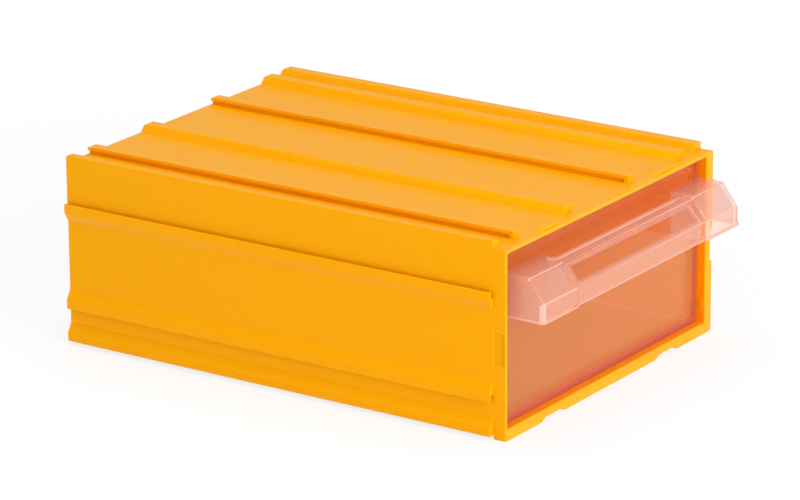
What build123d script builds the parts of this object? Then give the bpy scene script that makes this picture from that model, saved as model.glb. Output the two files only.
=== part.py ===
from build123d import *
import os

# Stackable drawer box: an opaque housing that hooks onto its neighbours, and a clear drawer inside it.
# Millimetres. X runs to the right across the front, Y from the front to the back, Z upwards.
# The drawing's own zero is the housing's left wall (X), the front of the collar (Y) and the plane that
# the collar stands on (Z). The finished solids are moved to the middle of their footprint at the end.

# ---- housing: walls and collar ----
housing_width = 137.0
housing_depth = 185.0
housing_height = 68.0
wall = 1.4
collar_depth = 4.7            # the front frame that surrounds the opening
collar_rounding = 0.9
recess_right = 3.2            # the right wall sits this far behind the collar, to house side ribs
recess_below = 2.9            # the floor sits this far above the standing plane, to house top ribs
top_plate_margin = 0.5        # the top plate ends this far short of the collar's right edge

# ---- housing: ribs on the top ----
rib_height = 2.65
rib_front_gap = 0.2           # behind the collar
edge_rib_left_foot = 5.0      # width at the plate
edge_rib_left_top = 2.8       # width at the rib's top
edge_rib_right_foot = 6.3
edge_rib_right_top = 4.0
left_track_margin = 12.4      # the two tracks are pairs of hooks that face away from each other
left_track_width = 37.8
right_track_margin = 12.2     # from the right end of the collar
right_track_width = 38.2
start_hook_top = 4.0
start_hook_slope = 0.0
end_hook_top = 4.2
end_hook_slope = 2.2          # the back of these hooks leans by this much
undercut = 1.0
neck_height = 0.9             # free height under the hook at its neck
lip_height = 1.35             # free height under the hook at its tip
hook_stop_length = 1.8        # the undercut is filled in at the front end
rib_end_rounding = 1.1

# ---- housing: ribs on the left wall ----
side_rib_reach = 2.0
side_lip_thickness = 0.9
upper_lip_top = 53.0
upper_lip_height = 3.4
lower_lip_bottom = 13.6
lower_lip_height = 3.7
side_slope_height = 3.4
side_groove_depth = 2.5
skirt_bottom = 1.5
skirt_height = 3.3

# ---- housing: hooks that hold a neighbour's ribs ----
mating_clearance = 0.15
hook_arm = 1.6
side_hook_clearance = 0.3
side_hook_arm = 1.5
side_hook_grip = 1.8

# ---- housing: pads, notches and nib ----
pad_offset = 37.6             # from the middle of the housing
pad_foot_width = 14.0
pad_top_width = 9.0
pad_height = 0.9
pad_front_margin = 1.0
pad_clearance = 0.4
side_notch_bottom = 26.6
side_notch_top = 38.8
left_notch_depth = 0.6
left_notch_front = 0.5        # the left hollow stops short of the collar's front
right_notch_depth = 1.3
side_notch_slope = 0.8
nib_height = 0.3
nib_length = 4.0
nib_bottom = 9.5
nib_front = 0.7
nib_depth = 1.6

# ---- drawer: panel and tray ----
panel_recess = 3.1            # the panel's front stands behind the front of the collar
panel_thickness = 2.0
side_clearance = 0.6
top_clearance = 0.7
floor_clearance = 0.15
back_clearance = 1.8
tray_inset = 1.0              # the tray is narrower than its panel by this much on each side
tray_wall = 1.7
tray_floor = 1.9
tray_rim_drop = 3.1           # the rim is below the top of the panel
tray_outer_corner = 3.0
tray_floor_rounding = 2.0
rim_bead_reach = 0.5          # a bead runs round the outside of the rim
rim_bead_height = 1.6
panel_edge_rounding = 0.5

# ---- drawer: handle ----
handle_shift = 3.5            # the handle is centred this far right of the panel's middle
handle_top = 58.9             # at the panel
handle_top_fall = 1.1         # the top falls by this much towards its front edge
handle_knee = 49.7            # the slope meets the upright front here
handle_bottom = 42.7
handle_top_reach = 8.9        # from the panel to the front edge of the top
handle_reach = 15.0           # from the panel to the upright front
handle_wall = 1.6
handle_half_width = 65.3
handle_side_rounding = 1.9
block_inner_at_panel = 41.2   # half the distance between the blocks, at the panel
block_inner_at_front = 42.7   # and at the upright front
collar_gap = 0.4              # between the collar and the part of a block that stands in front of it
bridge_setback = 0.9          # rail and band lie this far inside the faces of the blocks
rail_gap = 3.3                # finger gap between the panel and the rail
rail_gap_corner = 2.9
rail_groove_depth = 0.5
rail_groove_margin = 1.3
band_height = 7.3
window_margin = 1.4           # the open slope ends this far short of the blocks
lip_reach = 0.5               # a small lip runs round the lower edge
lip_band_height = 0.8

overlap = 0.3                 # how deep one feature is set into the wall that carries it
reach_through = 5.0           # how far a cutting shape runs past the material


def box(x_start, x_end, y_start, y_end, z_start, z_end):
    """A block between two planes on each axis."""
    centre = ((x_start + x_end) / 2, (y_start + y_end) / 2, (z_start + z_end) / 2)
    return Pos(*centre) * Box(x_end - x_start, y_end - y_start, z_end - z_start)


def along_depth(points, y_start, y_end):
    """A profile of (x, z) corners run from y_start to y_end."""
    outline = Polyline(*[(x, y_start, z) for x, z in points], close=True)
    return extrude(make_face(outline), amount=y_end - y_start, dir=(0, 1, 0))


def across_width(profile, x_start, x_end):
    """A face drawn in the plane x = 0 run from x_start to x_end."""
    return Pos(x_start, 0, 0) * extrude(profile, amount=x_end - x_start, dir=(1, 0, 0))


def side_face(points):
    """A face in the plane x = 0 from (y, z) corners."""
    return make_face(Polyline(*[(0, y, z) for y, z in points], close=True))


# ======================= housing =======================
plate_top = housing_height
wall_right = housing_width - recess_right
floor_top = recess_below + wall
ribs_front = collar_depth + rib_front_gap


def rounded_rib(points, y_start, y_end):
    """A rib whose rear end is rounded off at the top."""
    rib = along_depth(points, y_start, y_end)
    rear_top = rib.faces().sort_by(Axis.Y)[-1].edges().sort_by(Axis.Z)[-1]
    rib = fillet(rear_top, rib_end_rounding)
    return rib


def edge_rib(outer_x, facing, foot, top):
    """A rib at the edge of the plate: upright outside, sloped inside. facing is +1 or -1 into the plate."""
    points = [
        (outer_x, plate_top - overlap),
        (outer_x, plate_top + rib_height),
        (outer_x + facing * top, plate_top + rib_height),
        (outer_x + facing * foot, plate_top),
        (outer_x + facing * foot, plate_top - overlap),
    ]
    return rounded_rib(points, ribs_front, housing_depth)


def hook_rib(tip_x, facing, top_width, back_slope):
    """One half of a track: a rib with its lip facing +1 or -1 along X, closed at its front end."""
    neck_x = tip_x - facing * undercut
    back_x = tip_x - facing * top_width
    foot_x = back_x - facing * back_slope
    top_z = plate_top + rib_height
    hook = [
        (neck_x, plate_top - overlap),
        (neck_x, plate_top + neck_height),
        (tip_x, plate_top + lip_height),
        (tip_x, top_z),
        (back_x, top_z),
        (foot_x, plate_top),
        (foot_x, plate_top - overlap),
    ]
    stop = [
        (tip_x, plate_top - overlap),
        (tip_x, top_z),
        (back_x, top_z),
        (back_x, plate_top - overlap),
    ]
    rib = rounded_rib(hook, ribs_front, housing_depth)
    return rib + along_depth(stop, ribs_front, ribs_front + hook_stop_length)


def track_hook(tip_x, facing):
    """The hook under the floor that reaches under a neighbour's hook rib at the same place."""
    arm_near = tip_x + facing * mating_clearance
    arm_far = arm_near + facing * hook_arm
    toe_x = tip_x - facing * (undercut - mating_clearance)
    points = [
        (arm_far, 0),
        (toe_x, 0),
        (toe_x, neck_height - mating_clearance),
        (arm_near, lip_height - mating_clearance),
        (arm_near, recess_below + overlap),
        (arm_far, recess_below + overlap),
    ]
    return along_depth(points, ribs_front + hook_stop_length + mating_clearance, housing_depth)


def trapezoid_pad(middle_x, foot_width, top_width, height, base_z, y_start, y_end):
    """A low block with sloping ends, standing on base_z."""
    points = [
        (middle_x - foot_width / 2, base_z),
        (middle_x - top_width / 2, base_z + height),
        (middle_x + top_width / 2, base_z + height),
        (middle_x + foot_width / 2, base_z),
    ]
    return along_depth(points, y_start, y_end)


collar = box(0, housing_width, 0, collar_depth, 0, plate_top)
collar = fillet(collar.edges().filter_by(Axis.Y), collar_rounding)
shell = box(0, wall_right, 0, housing_depth, recess_below, plate_top)
top_plate = box(0, housing_width - top_plate_margin, 0, housing_depth, plate_top - wall, plate_top)
cavity = box(wall, wall_right - wall, -reach_through, housing_depth - wall, floor_top, plate_top - wall)
housing = collar + shell + top_plate - cavity

housing += edge_rib(0, 1, edge_rib_left_foot, edge_rib_left_top)
housing += edge_rib(housing_width - top_plate_margin, -1, edge_rib_right_foot, edge_rib_right_top)
right_track_end = housing_width - right_track_margin
track_tips = [
    (left_track_margin, -1, start_hook_top, start_hook_slope),
    (left_track_margin + left_track_width, 1, end_hook_top, end_hook_slope),
    (right_track_end - right_track_width, -1, start_hook_top, start_hook_slope),
    (right_track_end, 1, end_hook_top, end_hook_slope),
]
for tip_x, facing, top_width, back_slope in track_tips:
    housing += hook_rib(tip_x, facing, top_width, back_slope)
    housing += track_hook(tip_x, facing)

# Left wall: an upper hook that opens upwards, a lower hook that opens downwards, and a skirt.
lip_inner = side_lip_thickness - side_rib_reach
upper_lip_bottom = upper_lip_top - upper_lip_height
lower_lip_top = lower_lip_bottom + lower_lip_height
upper_hook = [
    (overlap, upper_lip_bottom - side_slope_height),
    (0, upper_lip_bottom - side_slope_height),
    (-side_rib_reach, upper_lip_bottom),
    (-side_rib_reach, upper_lip_top),
    (lip_inner, upper_lip_top),
    (lip_inner, upper_lip_top - side_groove_depth),
    (overlap, upper_lip_top - side_groove_depth),
]
lower_hook = [
    (overlap, lower_lip_top + side_slope_height),
    (0, lower_lip_top + side_slope_height),
    (-side_rib_reach, lower_lip_top),
    (-side_rib_reach, lower_lip_bottom),
    (lip_inner, lower_lip_bottom),
    (lip_inner, lower_lip_bottom + side_groove_depth),
    (overlap, lower_lip_bottom + side_groove_depth),
]
skirt_top = skirt_bottom + skirt_height
skirt = [
    (overlap, skirt_top + side_slope_height),
    (0, skirt_top + side_slope_height),
    (-side_rib_reach, skirt_top),
    (-side_rib_reach, skirt_bottom),
    (overlap, skirt_bottom),
]
for points in (upper_hook, lower_hook, skirt):
    housing += along_depth(points, ribs_front, housing_depth)

# Right wall: an arm above the place of a neighbour's upper lip and one below its lower lip, each with
# a lip that drops into the neighbour's groove.
hook_outer = housing_width - mating_clearance
hook_inner = hook_outer - (side_rib_reach - side_lip_thickness - 2 * mating_clearance)
upper_arm = upper_lip_top + side_hook_clearance
lower_arm = lower_lip_bottom - side_hook_clearance
upper_catch = [
    (wall_right - overlap, upper_arm),
    (wall_right - overlap, upper_arm + side_hook_arm),
    (hook_outer, upper_arm + side_hook_arm),
    (hook_outer, upper_arm - side_hook_grip),
    (hook_inner, upper_arm - side_hook_grip),
    (hook_inner, upper_arm),
]
lower_catch = [
    (wall_right - overlap, lower_arm),
    (wall_right - overlap, lower_arm - side_hook_arm),
    (hook_outer, lower_arm - side_hook_arm),
    (hook_outer, lower_arm + side_hook_grip),
    (hook_inner, lower_arm + side_hook_grip),
    (hook_inner, lower_arm),
]
for points in (upper_catch, lower_catch):
    housing += along_depth(points, ribs_front, housing_depth)

# Pads on the front strip of the top, and the notches in the sill that pass over a neighbour's pads.
housing_middle = housing_width / 2
for pad_x in (housing_middle - pad_offset, housing_middle + pad_offset):
    pad = trapezoid_pad(
        pad_x, pad_foot_width, pad_top_width, pad_height + overlap,
        plate_top - overlap, pad_front_margin, collar_depth,
    )
    notch = trapezoid_pad(
        pad_x, pad_foot_width + 2 * pad_clearance, pad_top_width + 2 * pad_clearance,
        pad_height + pad_clearance, 0, -reach_through, collar_depth + reach_through,
    )
    housing = housing + pad - notch

# A shallow hollow in each side of the collar.
side_notches = [
    (0, left_notch_depth, left_notch_front),
    (housing_width, -right_notch_depth, -reach_through),
]
for edge_x, depth, notch_front in side_notches:
    notch = [
        (edge_x, side_notch_bottom),
        (edge_x + depth, side_notch_bottom + side_notch_slope),
        (edge_x + depth, side_notch_top - side_notch_slope),
        (edge_x, side_notch_top),
    ]
    housing -= along_depth(notch, notch_front, collar_depth)

# A nib inside the right jamb that the edge of the panel rests behind.
jamb_x = wall_right - wall
housing += box(
    jamb_x - nib_height, jamb_x + overlap, nib_front, nib_front + nib_depth, nib_bottom, nib_bottom + nib_length
)

# ======================= drawer =======================
panel_left = wall + side_clearance
panel_right = wall_right - wall - side_clearance
panel_bottom = floor_top + floor_clearance
panel_top = plate_top - wall - top_clearance
panel_front = panel_recess
panel_back = panel_recess + panel_thickness
drawer_middle = (panel_left + panel_right) / 2

panel = box(panel_left, panel_right, panel_front, panel_back, panel_bottom, panel_top)
panel = fillet(panel.edges().filter_by(Axis.Y), panel_edge_rounding)

tray_left = panel_left + tray_inset
tray_right = panel_right - tray_inset
tray_back = housing_depth - wall - back_clearance
rim = panel_top - tray_rim_drop
tray = box(tray_left, tray_right, panel_front + panel_thickness / 2, tray_back, panel_bottom, rim)
tray_rear = tray.edges().filter_by(Axis.Z).group_by(Axis.Y)[-1]
tray = fillet(tray_rear, tray_outer_corner)
inside = box(
    tray_left + tray_wall, tray_right - tray_wall, panel_back, tray_back - tray_wall,
    panel_bottom + tray_floor, rim + reach_through,
)
inside = fillet(inside.edges().filter_by(Axis.Z), tray_outer_corner - tray_wall)
inside = fillet(inside.faces().sort_by(Axis.Z)[0].edges(), tray_floor_rounding / 2)
bead = box(
    tray_left - rim_bead_reach, tray_right + rim_bead_reach, panel_back - overlap,
    tray_back + rim_bead_reach, rim - rim_bead_height, rim,
)
bead = fillet(bead.edges().filter_by(Axis.Z).group_by(Axis.Y)[-1], tray_outer_corner + rim_bead_reach)
drawer = panel + (tray + bead - inside)

# The handle's side view: a gently falling top, a slope and an upright front. It is open underneath.
handle_middle = drawer_middle + handle_shift
top_edge_y = panel_front - handle_top_reach
front_y = panel_front - handle_reach
side_view = side_face([
    (panel_back, handle_top),
    (panel_front, handle_top),
    (top_edge_y, handle_top - handle_top_fall),
    (front_y, handle_knee),
    (front_y, handle_bottom - reach_through),
    (panel_back, handle_bottom - reach_through),
])


def across_handle(set_in, half_width):
    """The side view, drawn smaller by set_in, run across the handle."""
    profile = offset(side_view, amount=-set_in, kind=Kind.INTERSECTION) if set_in else side_view
    return across_width(profile, handle_middle - half_width, handle_middle + half_width)


def block_plan(set_in, facing, z_start, z_end):
    """Plan of one handle block run upwards: its inner side leans, its outer side is square to the panel."""
    lean = (block_inner_at_panel - block_inner_at_front) / handle_reach
    inner_at_back = block_inner_at_panel + lean * panel_thickness + set_in
    corners = [
        (handle_middle + facing * inner_at_back, panel_back),
        (handle_middle + facing * (block_inner_at_front + set_in), front_y + set_in),
        (handle_middle + facing * (handle_half_width - set_in), front_y + set_in),
        (handle_middle + facing * (handle_half_width - set_in), panel_back),
    ]
    outline = make_face(Polyline(*[(x, y, z_start) for x, y in corners], close=True))
    return extrude(outline, amount=z_end - z_start, dir=(0, 0, 1))


def beside_panel(margin):
    """The space on both sides of the panel that the collar needs, grown by margin."""
    low = (-collar_gap - margin, panel_back + reach_through, handle_bottom - 2 * reach_through, handle_top)
    on_left = box(-reach_through, panel_left + margin, *low)
    on_right = box(panel_right - margin, housing_width + reach_through, *low)
    return on_left + on_right


skin = across_handle(0, handle_half_width)
inner_space = across_handle(handle_wall, handle_half_width)
behind_panel_front = box(
    0, housing_width, panel_front, panel_back + reach_through, handle_bottom - 2 * reach_through, housing_height
)
handle = None
hollows = None
for facing in (-1, 1):
    block = skin & block_plan(0, facing, handle_bottom, handle_top)
    side_edges = block.edges().filter_by(Axis.X, reverse=True)
    side_edges = side_edges.filter_by(lambda edge: edge.center().Z > handle_bottom + overlap)
    side_edges = side_edges.filter_by(lambda edge: edge.center().Y < panel_front)
    block = fillet(side_edges, handle_side_rounding)
    lip = block_plan(-lip_reach, facing, handle_bottom, handle_bottom + lip_band_height)
    lip = fillet(lip.edges().filter_by(Axis.Z).group_by(Axis.Y)[0], handle_side_rounding + lip_reach)
    block = block + (lip - behind_panel_front) - beside_panel(0)
    hollow = inner_space & block_plan(handle_wall, facing, handle_bottom - reach_through, handle_top)
    hollow = hollow - behind_panel_front - beside_panel(handle_wall)
    handle = block if handle is None else handle + block
    hollows = hollow if hollows is None else hollows + hollow

# Rail and band: one bent sheet between the blocks, with its slope left open and a finger gap behind it.
rail_back_y = panel_front - rail_gap
rail_underside = handle_top - handle_top_fall - bridge_setback - handle_wall
band_top = handle_bottom + band_height
bridge_half = block_inner_at_front + handle_wall / 2
bridge_faces = across_handle(bridge_setback, bridge_half)
bridge = bridge_faces - across_handle(bridge_setback + handle_wall, bridge_half + reach_through)
bridge &= box(0, housing_width, front_y, panel_back, handle_bottom, handle_top)
window_half = block_inner_at_panel - window_margin
bridge -= box(
    handle_middle - window_half, handle_middle + window_half,
    front_y - reach_through, panel_front, band_top, rail_underside,
)
finger_gap = box(
    handle_middle - block_inner_at_panel, handle_middle + block_inner_at_panel,
    rail_back_y, panel_front, handle_bottom - reach_through, handle_top + reach_through,
)
bridge -= fillet(finger_gap.edges().filter_by(Axis.Z).group_by(Axis.Y)[0], rail_gap_corner)
groove = bridge_faces - across_handle(bridge_setback + rail_groove_depth, bridge_half + reach_through)
groove &= box(
    handle_middle - block_inner_at_panel, handle_middle + block_inner_at_panel,
    top_edge_y + bridge_setback + rail_groove_margin, rail_back_y - rail_groove_margin,
    rail_underside, handle_top,
)
band_lip = box(
    handle_middle - block_inner_at_front, handle_middle + block_inner_at_front,
    front_y + bridge_setback - lip_reach, front_y + bridge_setback + overlap,
    handle_bottom, handle_bottom + lip_band_height,
)
handle = handle + (bridge - groove) + band_lip - hollows
drawer = drawer + handle

# ======================= placing and saving =======================
footprint = housing.bounding_box().add(drawer.bounding_box())
to_origin = Pos(
    -(footprint.min.X + footprint.max.X) / 2, -(footprint.min.Y + footprint.max.Y) / 2, -footprint.min.Z
)
os.makedirs("parts", exist_ok=True)
pieces = {"housing": housing, "drawer": drawer}
for name, solid in pieces.items():
    placed = to_origin * solid
    print(name, "solids", len(placed.solids()), "volume", round(placed.volume), placed.bounding_box())
    export_step(placed, f"parts/{name}.step")
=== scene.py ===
"""Stackable drawer box: an orange housing with hook ribs and a clear drawer that slides out."""

import math

import bmesh
import bpy
from bpy.props import FloatProperty, FloatVectorProperty, PointerProperty
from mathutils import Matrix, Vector
from mathutils.bvhtree import BVHTree
from mathutils.kdtree import KDTree


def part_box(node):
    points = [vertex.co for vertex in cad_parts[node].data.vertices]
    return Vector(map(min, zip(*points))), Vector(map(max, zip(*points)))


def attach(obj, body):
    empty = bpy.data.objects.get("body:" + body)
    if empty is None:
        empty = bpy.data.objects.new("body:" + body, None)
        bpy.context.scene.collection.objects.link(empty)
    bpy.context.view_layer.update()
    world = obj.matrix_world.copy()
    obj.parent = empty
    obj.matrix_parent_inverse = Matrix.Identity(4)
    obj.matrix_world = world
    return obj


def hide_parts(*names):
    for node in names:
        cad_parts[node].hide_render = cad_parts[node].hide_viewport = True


bl_info = {
    "name": "Stackable Drawer Box",
    "version": (1, 0, 0),
    "blender": (4, 5, 0),
    "location": "3D View > Sidebar > Drawer Box",
    "description": "Finishes a stackable drawer box and sets it in a plain pale studio",
    "category": "Object",
}

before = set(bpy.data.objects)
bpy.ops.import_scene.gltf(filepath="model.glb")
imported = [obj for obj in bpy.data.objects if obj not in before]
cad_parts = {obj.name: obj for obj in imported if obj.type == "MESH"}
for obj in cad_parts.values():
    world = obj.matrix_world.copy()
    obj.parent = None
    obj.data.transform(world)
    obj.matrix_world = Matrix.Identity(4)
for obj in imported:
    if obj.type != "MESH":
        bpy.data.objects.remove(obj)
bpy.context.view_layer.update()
MM = 0.001
WHITE = (1.0, 1.0, 1.0, 1.0)

# ---- rounding of the edges ----
SHARP_ANGLE = math.radians(28.0)  # edges that turn by more than this are rounded
MERGE_REACH = 0.002 * MM  # points closer than this become one
ROUNDING_SEGMENTS = 3
ROUNDING_SHARE = "bevel_weight_edge"  # holds the share of the radius that each edge gets
ROUNDING_TURNS = 14  # at most this often rounding is taken back
TAKE_BACK = 0.6  # what a crowded edge keeps of its share in each turn
LEAST_SHARE = 0.15  # a crowded edge with less than this becomes sharp
CROWDING_REACH = 1.4  # radii around a fault within which an edge counts as crowded
STRAY_REACH = 0.45  # radii that a point may stand away from the CAD surface
LEAST_FACING = 0.5  # cosine between a face and the CAD surface under it
LEAST_FOLD = 0.02 * MM**2  # smaller faces may face anywhere

# ---- slots of the drawer's finishes ----
SKIN, EDGES, HANDLE_FRONT, HANDLE_PAINTED_LIT_SIDES, PAINTED_RIM_SHADE = range(5)

# ---- lamps: name, place, side in metres, power in watts ----
LAMP_AIM = (0.0, 0.0, 0.04)
LAMPS = (
    ("low_softbox", (-0.45, -1.3, 0.38), 0.7, 12.5),
    ("front_softbox", (-0.25, -1.25, 0.85), 0.9, 3.5),
    ("left_softbox", (-1.3, 0.3, 0.55), 0.9, 2.2),
    ("top_softbox", (0.1, 0.2, 1.4), 1.0, 7.5),
)


# ---- shader maths ----
class Wire:
    """A shader socket that takes part in Python arithmetic."""

    def __init__(self, finish, socket):
        self.finish = finish
        self.socket = socket

    def _join(self, operation, first, second):
        return self.finish.add(
            "ShaderNodeMath", {"operation": operation}, {0: first, 1: second}
        )

    def __add__(self, other):
        return self._join("ADD", self, other)

    def __radd__(self, other):
        return self._join("ADD", other, self)

    def __sub__(self, other):
        return self._join("SUBTRACT", self, other)

    def __rsub__(self, other):
        return self._join("SUBTRACT", other, self)

    def __mul__(self, other):
        return self._join("MULTIPLY", self, other)

    def __rmul__(self, other):
        return self._join("MULTIPLY", other, self)

    def __pow__(self, other):
        return self._join("POWER", self, other)

    def larger(self, other):
        return self._join("MAXIMUM", self, other)


class Finish:
    """The nodes of a material, or of the world, under construction."""

    def __init__(self, owner, output="ShaderNodeOutputMaterial"):
        self.owner = owner
        self.output = output
        owner.use_nodes = True
        self.tree = owner.node_tree
        self.tree.nodes.clear()

    def add(self, kind, settings=None, inputs=None, output=0):
        """One node: its settings first, then the values or links of its sockets."""
        node = self.tree.nodes.new(kind)
        for name, value in (settings or {}).items():
            setattr(node, name, value)
        for name, value in (inputs or {}).items():
            socket = node.inputs[name]
            if isinstance(value, Wire):
                self.tree.links.new(value.socket, socket)
            else:
                socket.default_value = value
        return Wire(self, node.outputs[output]) if node.outputs else None

    def place(self):
        """X, Y and Z of the shaded point, in metres."""
        point = self.add("ShaderNodeTexCoord", output="Object")
        split = self.add("ShaderNodeSeparateXYZ", None, {"Vector": point})
        return [Wire(self, split.socket.node.outputs[axis]) for axis in "XYZ"]

    def noise(self, scale, detail=2.0, roughness=0.5, stretch=(1.0, 1.0, 1.0)):
        """Cloudy variation from 0 to 1. scale is in cycles per metre."""
        point = self.add("ShaderNodeTexCoord", output="Object")
        point = self.add("ShaderNodeMapping", None, {"Vector": point, "Scale": stretch})
        return self.add(
            "ShaderNodeTexNoise",
            None,
            {"Vector": point, "Scale": scale, "Detail": detail, "Roughness": roughness},
        )

    def mix(self, factor, first, second):
        """Two colours, mixed. The Mix node keeps its colour sockets at 6, 7 and 2."""
        colours = {0: factor, 6: first, 7: second}
        return self.add("ShaderNodeMix", {"data_type": "RGBA"}, colours, 2)

    def blend(self, factor, first, second):
        """Two shaders, mixed."""
        return self.add("ShaderNodeMixShader", None, {0: factor, 1: first, 2: second})

    def ramp(self, value, start, end, low=0.0, high=1.0, kind="LINEAR"):
        """low at start, high at end, and level outside them."""
        return self.add(
            "ShaderNodeMapRange",
            {"interpolation_type": kind, "clamp": True},
            {"Value": value, "From Min": start, "From Max": end, "To Min": low, "To Max": high},
        )

    def bump(self, height, distance, strength, normal=None):
        """Relief of the given height. distance is in metres."""
        inputs = {"Height": height, "Distance": distance, "Strength": strength}
        if normal is not None:
            inputs["Normal"] = normal
        return self.add("ShaderNodeBump", None, inputs)

    def finished(self, shader):
        """The material or world, with shader as its surface."""
        self.add(self.output, None, {"Surface": shader})
        return self.owner


def solid_colour(rgb):
    return (rgb[0], rgb[1], rgb[2], 1.0)


# ---- sizes and colours ----
class HousingSettings(bpy.types.PropertyGroup):
    """The opaque housing."""

    colour: FloatVectorProperty(
        name="Plastic colour",
        description="Colour of the housing where the light is plain",
        subtype="COLOR",
        default=(0.89, 0.385, 0.001),
        min=0.0,
        max=1.0,
    )
    deep_colour: FloatVectorProperty(
        name="Deep colour",
        description="Slightly stronger colour of the flow clouds in the moulding",
        subtype="COLOR",
        default=(0.875, 0.36, 0.001),
        min=0.0,
        max=1.0,
    )
    # Painted light: the redder colour inside stands for the red light that bounces about inside
    # the housing and shines through its thin walls.
    painted_inner_glow_colour: FloatVectorProperty(
        name="Inner colour",
        description="Redder colour of the faces inside the housing",
        subtype="COLOR",
        default=(0.94, 0.29, 0.001),
        min=0.0,
        max=1.0,
    )
    opening_low: FloatVectorProperty(
        name="Opening low corner",
        description="Left, front and bottom of the space inside the housing",
        subtype="TRANSLATION",
        unit="LENGTH",
        default=(-66.1 * MM, -86.0 * MM, 4.3 * MM),
    )
    opening_high: FloatVectorProperty(
        name="Opening high corner",
        description="Right, back and top of the space inside the housing",
        subtype="TRANSLATION",
        unit="LENGTH",
        default=(64.9 * MM, 97.3 * MM, 66.6 * MM),
    )
    roughness: FloatProperty(
        name="Roughness", description="Roughness of the skin", default=0.36, min=0.0, max=1.0
    )
    glow_depth: FloatProperty(
        name="Glow depth",
        description="How deep red light travels inside the plastic",
        default=2.0 * MM,
        min=0.0,
        unit="LENGTH",
    )
    edge_radius: FloatProperty(
        name="Edge radius",
        description="How far the moulded edges are rounded",
        default=0.3 * MM,
        min=0.0,
        unit="LENGTH",
    )


class DrawerSettings(bpy.types.PropertyGroup):
    """The clear drawer."""

    colour: FloatVectorProperty(
        name="Clear plastic tint",
        description="What one surface of the clear plastic lets through",
        subtype="COLOR",
        default=(0.995, 0.965, 0.95),
        min=0.0,
        max=1.0,
    )
    haze_colour: FloatVectorProperty(
        name="Haze colour",
        description="Colour of the faint haze in the plastic",
        subtype="COLOR",
        default=(1.0, 0.74, 0.28),
        min=0.0,
        max=1.0,
    )
    # Painted light: the red near the top stands for the housing's lit red inside seen through the
    # plastic, not for a colour of the plastic.
    painted_high_glow_colour: FloatVectorProperty(
        name="High haze colour",
        description="Colour of the haze near the top, where the housing's colour is in the light",
        subtype="COLOR",
        default=(1.0, 0.18, 0.01),
        min=0.0,
        max=1.0,
    )
    haze: FloatProperty(
        name="Haze",
        description="Share of the light that the haze scatters",
        default=0.11,
        min=0.0,
        max=1.0,
    )
    handle_haze: FloatProperty(
        name="Handle haze", description="Haze of the handle's front", default=0.2, min=0.0, max=1.0
    )
    # Painted light: the handle's top and sides take more haze than its front, so that they look
    # more brightly lit.
    painted_lit_handle_side_haze: FloatProperty(
        name="Handle side haze",
        description="Haze of the handle's top and sides",
        default=0.34,
        min=0.0,
        max=1.0,
    )
    handle_tint: FloatVectorProperty(
        name="Handle tint",
        description="What one surface of the handle lets through",
        subtype="COLOR",
        default=(0.985, 0.99, 0.985),
        min=0.0,
        max=1.0,
    )
    handle_colour: FloatVectorProperty(
        name="Handle haze colour",
        description="Colour of the haze in the handle's walls",
        subtype="COLOR",
        default=(0.9, 0.57, 0.48),
        min=0.0,
        max=1.0,
    )
    # Painted highlight: the pale pink of the rounded edges stands for the light that the plastic
    # gathers and lets out there.
    painted_edge_highlight_colour: FloatVectorProperty(
        name="Edge colour",
        description="Colour of the rounded edges",
        subtype="COLOR",
        default=(1.0, 0.66, 0.56),
        min=0.0,
        max=1.0,
    )
    # Painted shade: the dark red border stands for the tray's floor and walls seen edge on through
    # the panel.
    painted_border_shade_colour: FloatVectorProperty(
        name="Border colour",
        description="What the border of the panel lets through",
        subtype="COLOR",
        default=(0.62, 0.14, 0.1),
        min=0.0,
        max=1.0,
    )
    border_strength: FloatProperty(
        name="Border strength",
        description="How clearly the border shows",
        default=0.85,
        min=0.0,
        max=1.0,
    )
    floor_band: FloatProperty(
        name="Floor band",
        description="Height of the border at the bottom of the panel",
        default=3.3 * MM,
        unit="LENGTH",
    )
    side_band: FloatProperty(
        name="Side band",
        description="Width of the border at the right of the panel, and half that at its left",
        default=1.8 * MM,
        unit="LENGTH",
    )
    # Painted shade: the dark red of the rim stands for the shade and the housing's red light seen
    # through the plastic edge on.
    painted_rim_shade_colour: FloatVectorProperty(
        name="Rim colour",
        description="Colour that gathers in the rim of the panel",
        subtype="COLOR",
        default=(0.7, 0.16, 0.08),
        min=0.0,
        max=1.0,
    )
    panel_front: FloatProperty(
        name="Panel front",
        description="Where the front of the panel stands",
        default=-83.2 * MM,
        unit="LENGTH",
    )
    panel_thickness: FloatProperty(
        name="Panel thickness",
        description="Thickness of the panel",
        default=2.0 * MM,
        unit="LENGTH",
    )
    panel_right: FloatProperty(
        name="Panel right",
        description="Where the right edge of the panel stands",
        default=64.3 * MM,
        unit="LENGTH",
    )
    # Painted highlight: strong pale haze on the rounded edges stands in for the light that comes
    # out of the plastic there.
    painted_edge_highlight_haze: FloatProperty(
        name="Edge haze",
        description="Haze of the rounded edges, where light from inside the plastic comes out",
        default=0.8,
        min=0.0,
        max=1.0,
    )
    # Painted reflection: the warm tint stands for the orange housing mirrored in the clear
    # plastic.
    painted_reflection_tint: FloatVectorProperty(
        name="Gleam colour",
        description="Warm tint of what the clear plastic mirrors face on",
        subtype="COLOR",
        default=(1.0, 0.62, 0.38),
        min=0.0,
        max=1.0,
    )
    mirror_share: FloatProperty(
        name="Mirror share",
        description="Share of the light that is mirrored face on",
        default=0.04,
        min=0.0,
        max=1.0,
    )
    roughness: FloatProperty(
        name="Roughness",
        description="Roughness of the polished skin",
        default=0.1,
        min=0.0,
        max=1.0,
    )
    edge_radius: FloatProperty(
        name="Edge radius",
        description="How far the moulded edges are rounded",
        default=0.35 * MM,
        min=0.0,
        unit="LENGTH",
    )


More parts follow.
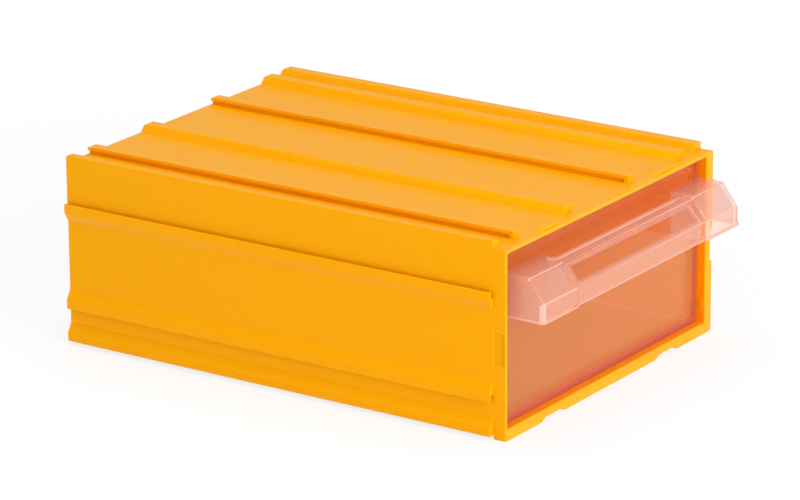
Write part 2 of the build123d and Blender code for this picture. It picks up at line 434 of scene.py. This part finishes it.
class StageSettings(bpy.types.PropertyGroup):
    """Floor, lamps and camera."""

    floor_size: FloatProperty(
        name="Floor size",
        description="Side of the square floor",
        default=6.0,
        min=1.0,
        unit="LENGTH",
    )
    floor_colour: FloatVectorProperty(
        name="Floor colour",
        description="Colour of the floor under the lamps",
        subtype="COLOR",
        default=(0.9, 0.9, 0.9),
        min=0.0,
        max=1.0,
    )
    shadow_share: FloatProperty(
        name="Shadow share",
        description="How much of the floor's own shading the camera sees over the white sweep",
        default=0.2,
        min=0.0,
        max=1.0,
    )
    shadow_reach: FloatProperty(
        name="Shadow reach",
        description="Past this distance the floor shows as plain white",
        default=0.4,
        min=0.05,
        unit="LENGTH",
    )
    room_light: FloatProperty(
        name="Room light",
        description="Strength of the even light of the room",
        default=0.55,
        min=0.0,
    )
    camera_place: FloatVectorProperty(
        name="Camera place",
        description="Where the camera stands",
        subtype="TRANSLATION",
        unit="LENGTH",
        default=(-1.27725, -0.86285, 0.54304),
    )
    camera_turn: FloatVectorProperty(
        name="Camera turn",
        description="The camera's rotation about X, Y and Z",
        subtype="EULER",
        unit="ROTATION",
        default=(math.radians(71.7338), math.radians(0.3315), math.radians(-56.0139)),
    )
    focal_length: FloatProperty(
        name="Focal length",
        description="Focal length on a sensor 36 mm wide, in millimetres",
        default=204.777,
        min=10.0,
    )


# ---- materials ----
def painted_inner_glow_mask(finish, settings):
    """1 on the faces inside the housing, where the painted redder glow goes, 0 on the outer ones.
    """
    fade = 0.2 * MM
    inside = 1.0
    for along, start, end in zip(finish.place(), settings.opening_low, settings.opening_high):
        past_start = finish.ramp(along, start - fade, start)
        before_end = finish.ramp(along, end + fade, end)
        inside = inside * past_start * before_end
    return inside


def housing_plastic(settings):
    """Satin orange plastic with faint flow clouds, a moulded skin and a painted redder glow on its
    inner faces.
    """
    finish = Finish(bpy.data.materials.new("housing_plastic"))
    clouds = finish.noise(22.0, 3.0, 0.55, (1.0, 0.35, 1.0))
    colour = finish.mix(clouds, solid_colour(settings.colour), solid_colour(settings.deep_colour))
    # Painted light: the inner faces take a redder colour that stands for the light bouncing inside
    # the housing.
    painted_inner_glow_colour = solid_colour(settings.painted_inner_glow_colour)
    colour = finish.mix(painted_inner_glow_mask(finish, settings), colour, painted_inner_glow_colour)
    sheen = finish.noise(60.0, 2.0, 0.5)
    sheen_spread = 0.1
    roughness = sheen * sheen_spread + (settings.roughness - sheen_spread / 2)
    sinks = finish.noise(34.0, 1.0, 0.4, (1.0, 0.5, 1.0))
    waves = finish.bump(sinks, 0.25 * MM, 0.6)
    grain = finish.noise(2600.0, 2.0, 0.6)
    relief = finish.bump(grain, 0.02 * MM, 0.35, waves)
    shader = finish.add(
        "ShaderNodeBsdfPrincipled",
        None,
        {
            "Base Color": colour,
            "Roughness": roughness,
            "IOR": 1.48,
            "Specular IOR Level": 0.3,
            "Specular Tint": (1.0, 0.9, 0.02, 1.0),
            "Subsurface Weight": 0.3,
            "Subsurface Radius": (1.0, 0.3, 0.03),
            "Subsurface Scale": settings.glow_depth,
            "Normal": relief,
        },
    )
    return finish.finished(shader)


def painted_border_shade(finish, settings):
    """1 where the panel gets its painted dark border, the shade where the tray's floor and walls
    stand edge on behind it, 0 elsewhere.
    """
    x, y, z = finish.place()
    low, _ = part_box("drawer")
    floor_line = low.z + settings.floor_band
    right_line = settings.panel_right - settings.side_band
    left_line = low.x + settings.side_band / 2
    panel_back = settings.panel_front + settings.panel_thickness
    soft = 0.15 * MM
    step = 0.05 * MM
    below = finish.ramp(z, floor_line + soft, floor_line - soft)
    right = finish.ramp(x, right_line - soft, right_line + soft)
    left = finish.ramp(x, left_line + soft, left_line - soft)
    behind_front = finish.ramp(y, settings.panel_front - 2 * step, settings.panel_front - step)
    before_back = finish.ramp(y, panel_back, panel_back - step)
    return below.larger(right).larger(left) * (behind_front * before_back)


def clear_plastic(settings, name, haze, haze_colour=None, tint=None, painted_outline_shade=0.0):
    """Clear plastic with a warm haze, a polished skin, a painted red glow near the top, a painted
    dark border and a painted warm tint in its reflections. Lamps shine through it.

    haze is the share of the light that is scattered, haze_colour and tint replace those of the
    tray, and painted_outline_shade is how strongly the skin takes the border's dark red where it
    is
    seen edge on: a painted shade that stands for light bent through the plastic's thickness.
    """
    finish = Finish(bpy.data.materials.new(name))
    low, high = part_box("drawer")
    clouds = finish.noise(26.0, 2.0, 0.5)
    sideways = finish.add("ShaderNodeLayerWeight", None, {"Blend": 0.5}, "Facing")
    shine = sideways**5.0 * (1.0 - settings.mirror_share) + settings.mirror_share
    relief = finish.bump(finish.noise(48.0, 1.0, 0.4), 0.12 * MM, 0.4)
    polish_spread = 0.04
    roughness = clouds * polish_spread + (settings.roughness - polish_spread / 2)

    # Painted light: above a share of the height the haze turns red, standing for the housing's lit
    # red inside seen through the panel.
    _, _, height = finish.place()
    change_share = 0.45  # of the height, above which the haze changes its colour
    change = low.z + change_share * (high.z - low.z)
    painted_high_glow_share = finish.ramp(height, change, high.z)
    low_haze = solid_colour(haze_colour or settings.haze_colour)
    painted_high_glow = solid_colour(haze_colour or settings.painted_high_glow_colour)
    veil = finish.mix(painted_high_glow_share, low_haze, painted_high_glow)
    dull = solid_colour((0.5, 0.3, 0.2))
    veil = finish.mix(clouds * 0.12, veil, dull)
    near = finish.add("ShaderNodeBsdfDiffuse", None, {"Color": veil})
    through = finish.add("ShaderNodeBsdfTranslucent", None, {"Color": veil})
    through_share = 0.4
    mist = finish.blend(through_share, near, through)
    clear_colour = solid_colour(tint or settings.colour)
    clear = finish.add("ShaderNodeBsdfTransparent", None, {"Color": clear_colour})
    cloud_spread = 0.3
    least_haze = haze * (1.0 - cloud_spread / 2)
    body = finish.blend(clouds * (cloud_spread * haze) + least_haze, clear, mist)

    # Painted shade: a dark red where the tray's floor and walls stand edge on behind the panel,
    # and where the skin itself is seen edge on.
    deep_colour = solid_colour(settings.painted_border_shade_colour)
    deep_clear = finish.add("ShaderNodeBsdfTransparent", None, {"Color": deep_colour})
    deep_mist = finish.add("ShaderNodeBsdfDiffuse", None, {"Color": deep_colour})
    deep_mist_share = 0.6
    deep = finish.blend(deep_mist_share, deep_clear, deep_mist)
    border = painted_border_shade(finish, settings) * settings.border_strength
    edge_on = sideways**3.0
    # Painted shade: seen edge on, the skin darkens to the border's red, standing for light bent
    # through the plastic's thickness.
    body = finish.blend(border.larger(edge_on * painted_outline_shade), body, deep)

    # Painted reflection: face on, the gleam is tinted warm, standing for the orange housing
    # mirrored in the plastic. Edge on, it turns white.
    painted_reflection_tint = finish.mix(edge_on, solid_colour(settings.painted_reflection_tint), WHITE)
    gleam = finish.add(
        "ShaderNodeBsdfGlossy",
        None,
        {"Color": painted_reflection_tint, "Roughness": roughness, "Normal": relief},
    )
    skin = finish.blend(shine, body, gleam)
    lamp_ray = finish.add("ShaderNodeLightPath", output="Is Shadow Ray")
    return finish.finished(finish.blend(lamp_ray, skin, clear))


def painted_rim_shade(settings):
    """The rim of the panel, seen through its whole thickness, in a painted dark red that stands
    for the shade and the housing's red light seen through the plastic edge on.
    """
    finish = Finish(bpy.data.materials.new("clear_plastic_painted_rim_shade"))
    clouds = finish.noise(60.0, 2.0, 0.5)
    dimming = 0.88
    darker = solid_colour([channel * dimming for channel in settings.painted_rim_shade_colour])
    deep = finish.mix(clouds, solid_colour(settings.painted_rim_shade_colour), darker)
    shader = finish.add(
        "ShaderNodeBsdfPrincipled",
        None,
        {"Base Color": deep, "Roughness": clouds * 0.05 + 0.12, "Alpha": 0.55, "IOR": 1.49},
    )
    return finish.finished(shader)


def studio_floor(settings):
    """Pale floor that keeps the shadow and otherwise shows as the white sweep behind it."""
    finish = Finish(bpy.data.materials.new("studio_floor"))
    clouds = finish.noise(3.0, 2.0, 0.5)
    brightening = 1.02
    pale = solid_colour(settings.floor_colour)
    paler = solid_colour([min(1.0, channel * brightening) for channel in settings.floor_colour])
    ground = finish.add(
        "ShaderNodeBsdfPrincipled",
        None,
        {
            "Base Color": finish.mix(clouds, pale, paler),
            "Roughness": 0.8,
            "Specular IOR Level": 0.1,
        },
    )
    white = finish.add("ShaderNodeEmission", None, {"Color": WHITE, "Strength": 1.0})
    seen = finish.add("ShaderNodeLightPath", output="Is Camera Ray")
    bent = finish.add("ShaderNodeLightPath", output="Is Transmission Ray")
    mirrored = finish.add("ShaderNodeLightPath", output="Is Glossy Ray")
    point = finish.add("ShaderNodeTexCoord", output="Object")
    distance = finish.add("ShaderNodeVectorMath", {"operation": "LENGTH"}, {0: point}, "Value")
    reach = settings.shadow_reach
    far = finish.ramp(distance, reach / 2, reach, 1.0 - settings.shadow_share, 1.0, "SMOOTHSTEP")
    return finish.finished(finish.blend(seen.larger(bent).larger(mirrored) * far, ground, white))


def studio_room(settings):
    """Even light of the room. The camera sees the white sweep in its place."""
    finish = Finish(bpy.data.worlds.new("studio"), "ShaderNodeOutputWorld")
    strength = settings.room_light
    room = finish.add("ShaderNodeBackground", None, {"Color": WHITE, "Strength": strength})
    sweep = finish.add("ShaderNodeBackground", None, {"Color": WHITE, "Strength": 1.0})
    seen = finish.add("ShaderNodeLightPath", output="Is Camera Ray")
    bent = finish.add("ShaderNodeLightPath", output="Is Transmission Ray")
    return finish.finished(finish.blend(seen.larger(bent), room, sweep))


# ---- pieces ----
def mark_outward_edges(mesh):
    """Marks each sharp outward edge for full rounding and returns their ends by their numbers."""
    shape = bmesh.new()
    shape.from_mesh(mesh)
    bmesh.ops.remove_doubles(shape, verts=shape.verts, dist=MERGE_REACH)
    shape.edges.index_update()
    share = shape.edges.layers.float.new(ROUNDING_SHARE)
    ends = {}
    for edge in shape.edges:
        if edge.is_manifold and edge.is_convex and edge.calc_face_angle() > SHARP_ANGLE:
            edge[share] = 1.0
            ends[edge.index] = [corner.co.copy() for corner in edge.verts]
    shape.to_mesh(mesh)
    shape.free()
    return ends


def points_along(ends, spacing):
    """Points at most spacing apart on the given edges, each with its edge's number."""
    points = []
    for number, (start, end) in ends.items():
        steps = math.ceil((end - start).length / spacing)
        points += [(start.lerp(end, step / steps), number) for step in range(steps + 1)]
    return points


def spoiled_points(rounded, surface, radius):
    """Points where the rounded mesh leaves the CAD surface or folds back over it."""
    stray = STRAY_REACH * radius
    points = [v.co for v in rounded.vertices if surface.find_nearest(v.co)[3] > stray]
    for face in rounded.polygons:
        if face.area < LEAST_FOLD:
            continue
        if surface.find_nearest(face.center)[1].dot(face.normal) < LEAST_FACING:
            points.append(face.center)
            points += [rounded.vertices[number].co for number in face.vertices]
    return points


def moulded_copy(node_name, name, radius, skin, edge=None):
    """The node's solid as one closed mesh with its outward edges rounded by radius.

    Where edges crowd each other, their rounding is taken back in turns until nothing folds.
    """
    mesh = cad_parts[node_name].data.copy()
    mesh.name = name
    mesh.materials.clear()
    for material in (skin, edge or skin):
        mesh.materials.append(material)
    marks = points_along(mark_outward_edges(mesh), radius)
    near = KDTree(len(marks))
    for index, (point, _) in enumerate(marks):
        near.insert(point, index)
    near.balance()
    surface = BVHTree.FromPolygons(
        [v.co for v in mesh.vertices], [tuple(face.vertices) for face in mesh.polygons]
    )

    piece = bpy.data.objects.new(name, mesh)
    bpy.context.scene.collection.objects.link(piece)
    bevel = piece.modifiers.new("rounded edges", "BEVEL")
    bevel.width = radius
    bevel.segments = ROUNDING_SEGMENTS
    bevel.limit_method = "WEIGHT"
    bevel.use_clamp_overlap = False
    bevel.material = EDGES
    shares = mesh.attributes[ROUNDING_SHARE].data
    for _ in range(ROUNDING_TURNS):
        mesh.update_tag()
        depsgraph = bpy.context.evaluated_depsgraph_get()
        depsgraph.update()
        rounded = bpy.data.meshes.new_from_object(piece.evaluated_get(depsgraph))
        crowded = {
            marks[index][1]
            for point in spoiled_points(rounded, surface, radius)
            for _, index, _ in near.find_range(point, CROWDING_REACH * radius)
        }
        if not crowded:
            break
        for number in crowded:
            share = shares[number]
            share.value *= TAKE_BACK if share.value > LEAST_SHARE else 0.0
    low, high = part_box(node_name)
    for point in rounded.vertices:
        point.co = [min(max(c, a), b) for c, a, b in zip(point.co, low, high)]
    piece.modifiers.clear()
    piece.data = rounded
    rounded.name = name
    return piece


def dress_drawer(piece, settings):
    """Gives the handle its haze, painted extra light on its top and sides and painted highlights
    on its upright corners, and the panel's rim its painted dark red shade.
    """
    low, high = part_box("drawer")
    panel_back = settings.panel_front + settings.panel_thickness
    margin = 0.6 * MM
    slant = 0.2  # an upright corner leans at least this far to the side and to the front
    frontal = -0.3  # Y of the normal of a face that belongs to the handle's front
    sideways = 0.5  # a face of the rim turns less than this to the front or back
    mesh = piece.data
    for name, haze in (
        ("clear_plastic_handle", settings.handle_haze),
        ("clear_plastic_handle_painted_lit_sides", settings.painted_lit_handle_side_haze),
    ):
        mesh.materials.append(
            clear_plastic(settings, name, haze, settings.handle_colour, settings.handle_tint)
        )
    mesh.materials.append(painted_rim_shade(settings))
    for face in mesh.polygons:
        if face.material_index != SKIN:
            continue
        centre = face.center
        normal = face.normal
        if centre.y < settings.panel_front - margin:
            # Painted highlight: the handle's upright corners take the pale finish of the rounded
            # edges, chosen by the direction of their faces.
            if min(abs(normal.x), abs(normal.y)) > slant and abs(normal.z) < slant:
                face.material_index = EDGES
            else:
                # Painted light: the top and sides get the hazier finish, so that they look more
                # brightly lit than the front.
                face.material_index = HANDLE_FRONT if normal.y < frontal else HANDLE_PAINTED_LIT_SIDES
        elif centre.y < panel_back and abs(normal.y) < sideways:
            on_rim = (
                centre.x < low.x + margin
                or centre.x > settings.panel_right - margin
                or centre.z < low.z + margin
                or centre.z > high.z - margin
            )
            # Painted shade: the panel's rim faces take the dark red rim finish.
            if on_rim:
                face.material_index = PAINTED_RIM_SHADE


class DRAWERBOX_OT_housing(bpy.types.Operator):
    """Finish the orange housing with its ribs, collar and pads"""

    bl_idname = "drawerbox.housing"
    bl_label = "Housing"

    def execute(self, context):
        settings = context.scene.drawerbox_housing
        piece = moulded_copy(
            "housing", "housing_moulding", settings.edge_radius, housing_plastic(settings)
        )
        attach(piece, "housing")
        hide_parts("housing")
        return {"FINISHED"}


class DRAWERBOX_OT_drawer(bpy.types.Operator):
    """Finish the clear drawer with its panel, tray and handle"""

    bl_idname = "drawerbox.drawer"
    bl_label = "Drawer"

    def execute(self, context):
        settings = context.scene.drawerbox_drawer
        skin = clear_plastic(settings, "clear_plastic", settings.haze)
        # Painted highlight: the rounded edges take a strongly hazed pale finish.
        edge = clear_plastic(
            settings, "clear_plastic_painted_edge_highlights", settings.painted_edge_highlight_haze, settings.painted_edge_highlight_colour, painted_outline_shade=1.0
        )
        piece = moulded_copy("drawer", "drawer_moulding", settings.edge_radius, skin, edge)
        dress_drawer(piece, settings)
        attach(piece, "drawer")
        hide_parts("drawer")
        return {"FINISHED"}


def softbox(name, place, size, power):
    """A square lamp that looks at the middle of the box."""
    lamp = bpy.data.lights.new(name, "AREA")
    lamp.shape = "SQUARE"
    lamp.size = size
    lamp.energy = power
    holder = bpy.data.objects.new(name, lamp)
    holder.location = place
    direction = Vector(LAMP_AIM) - Vector(place)
    holder.rotation_euler = direction.to_track_quat("-Z", "Y").to_euler()
    bpy.context.scene.collection.objects.link(holder)


class DRAWERBOX_OT_stage(bpy.types.Operator):
    """Set the pale floor, the soft studio lamps and the camera"""

    bl_idname = "drawerbox.stage"
    bl_label = "Studio"

    def execute(self, context):
        settings = context.scene.drawerbox_stage
        scene = context.scene
        half = settings.floor_size / 2
        signs = ((-1, -1), (1, -1), (1, 1), (-1, 1))
        level = -0.02 * MM  # just under the plane that the box stands on
        corners = [(x * half, y * half, level) for x, y in signs]
        mesh = bpy.data.meshes.new("floor")
        mesh.from_pydata(corners, [], [(0, 1, 2, 3)])
        mesh.materials.append(studio_floor(settings))
        floor = bpy.data.objects.new("floor", mesh)
        scene.collection.objects.link(floor)

        for name, place, size, power in LAMPS:
            softbox(name, place, size, power)
        scene.world = studio_room(settings)

        camera = bpy.data.objects.new("camera", bpy.data.cameras.new("camera"))
        camera.data.sensor_width = 36.0
        camera.data.lens = settings.focal_length
        camera.data.clip_start = 0.05
        camera.location = settings.camera_place
        camera.rotation_euler = settings.camera_turn
        scene.collection.objects.link(camera)
        scene.camera = camera
        scene.cycles.transparent_max_bounces = 32  # a view along the drawer meets many clear faces
        scene.view_settings.view_transform = "Standard"
        return {"FINISHED"}


class DRAWERBOX_PT_panel(bpy.types.Panel):
    """The pieces of the drawer box and their settings"""

    bl_idname = "DRAWERBOX_PT_panel"
    bl_label = "Stackable Drawer Box"
    bl_space_type = "VIEW_3D"
    bl_region_type = "UI"
    bl_category = "Drawer Box"

    def draw(self, context):
        scene = context.scene
        groups = (
            (scene.drawerbox_housing, DRAWERBOX_OT_housing),
            (scene.drawerbox_drawer, DRAWERBOX_OT_drawer),
            (scene.drawerbox_stage, DRAWERBOX_OT_stage),
        )
        for settings, operator in groups:
            box = self.layout.box()
            for name in settings.__annotations__:
                box.prop(settings, name)
            box.operator(operator.bl_idname)


CLASSES = (
    HousingSettings,
    DrawerSettings,
    StageSettings,
    DRAWERBOX_OT_housing,
    DRAWERBOX_OT_drawer,
    DRAWERBOX_OT_stage,
    DRAWERBOX_PT_panel,
)


def register():
    for cls in CLASSES:
        bpy.utils.register_class(cls)
    bpy.types.Scene.drawerbox_housing = PointerProperty(type=HousingSettings)
    bpy.types.Scene.drawerbox_drawer = PointerProperty(type=DrawerSettings)
    bpy.types.Scene.drawerbox_stage = PointerProperty(type=StageSettings)


def unregister():
    del bpy.types.Scene.drawerbox_stage
    del bpy.types.Scene.drawerbox_drawer
    del bpy.types.Scene.drawerbox_housing
    for cls in reversed(CLASSES):
        bpy.utils.unregister_class(cls)


def main():
    register()
    bpy.ops.drawerbox.housing()
    bpy.ops.drawerbox.drawer()
    bpy.ops.drawerbox.stage()


if __name__ == "__main__":
    main()
